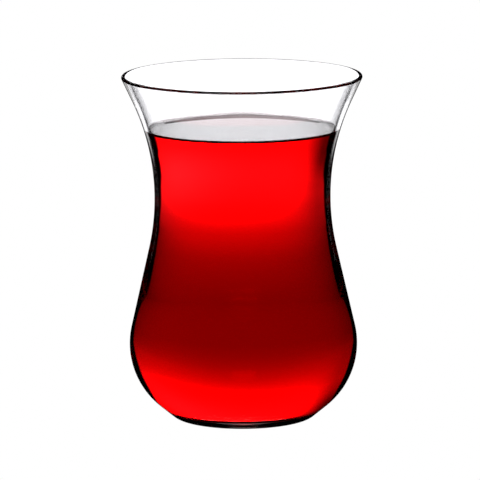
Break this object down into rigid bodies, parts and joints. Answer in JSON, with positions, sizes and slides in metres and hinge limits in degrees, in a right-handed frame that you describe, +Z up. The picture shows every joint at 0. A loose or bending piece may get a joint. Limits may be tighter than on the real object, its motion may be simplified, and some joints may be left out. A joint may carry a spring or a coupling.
{
  "type": "turkish tea glass",
  "caption": "Tulip-shaped clear tea glass with a narrow waist, round belly and flared rim, filled with red tea to just below the flare.",
  "frame": {"origin": "centre of the foot, on the surface that the glass stands on", "axes": "+Z up along the glass's axis of turning; the glass is round, so X and Y are free"},
  "size_m": [0.059, 0.059, 0.085],
  "materials": {
    "glass": "polished clear glass",
    "tea": "clear deep red tea"
  },
  "bodies": {
    "root": {"glass": "glass", "tea": "tea"}
  },
  "joints": []
}
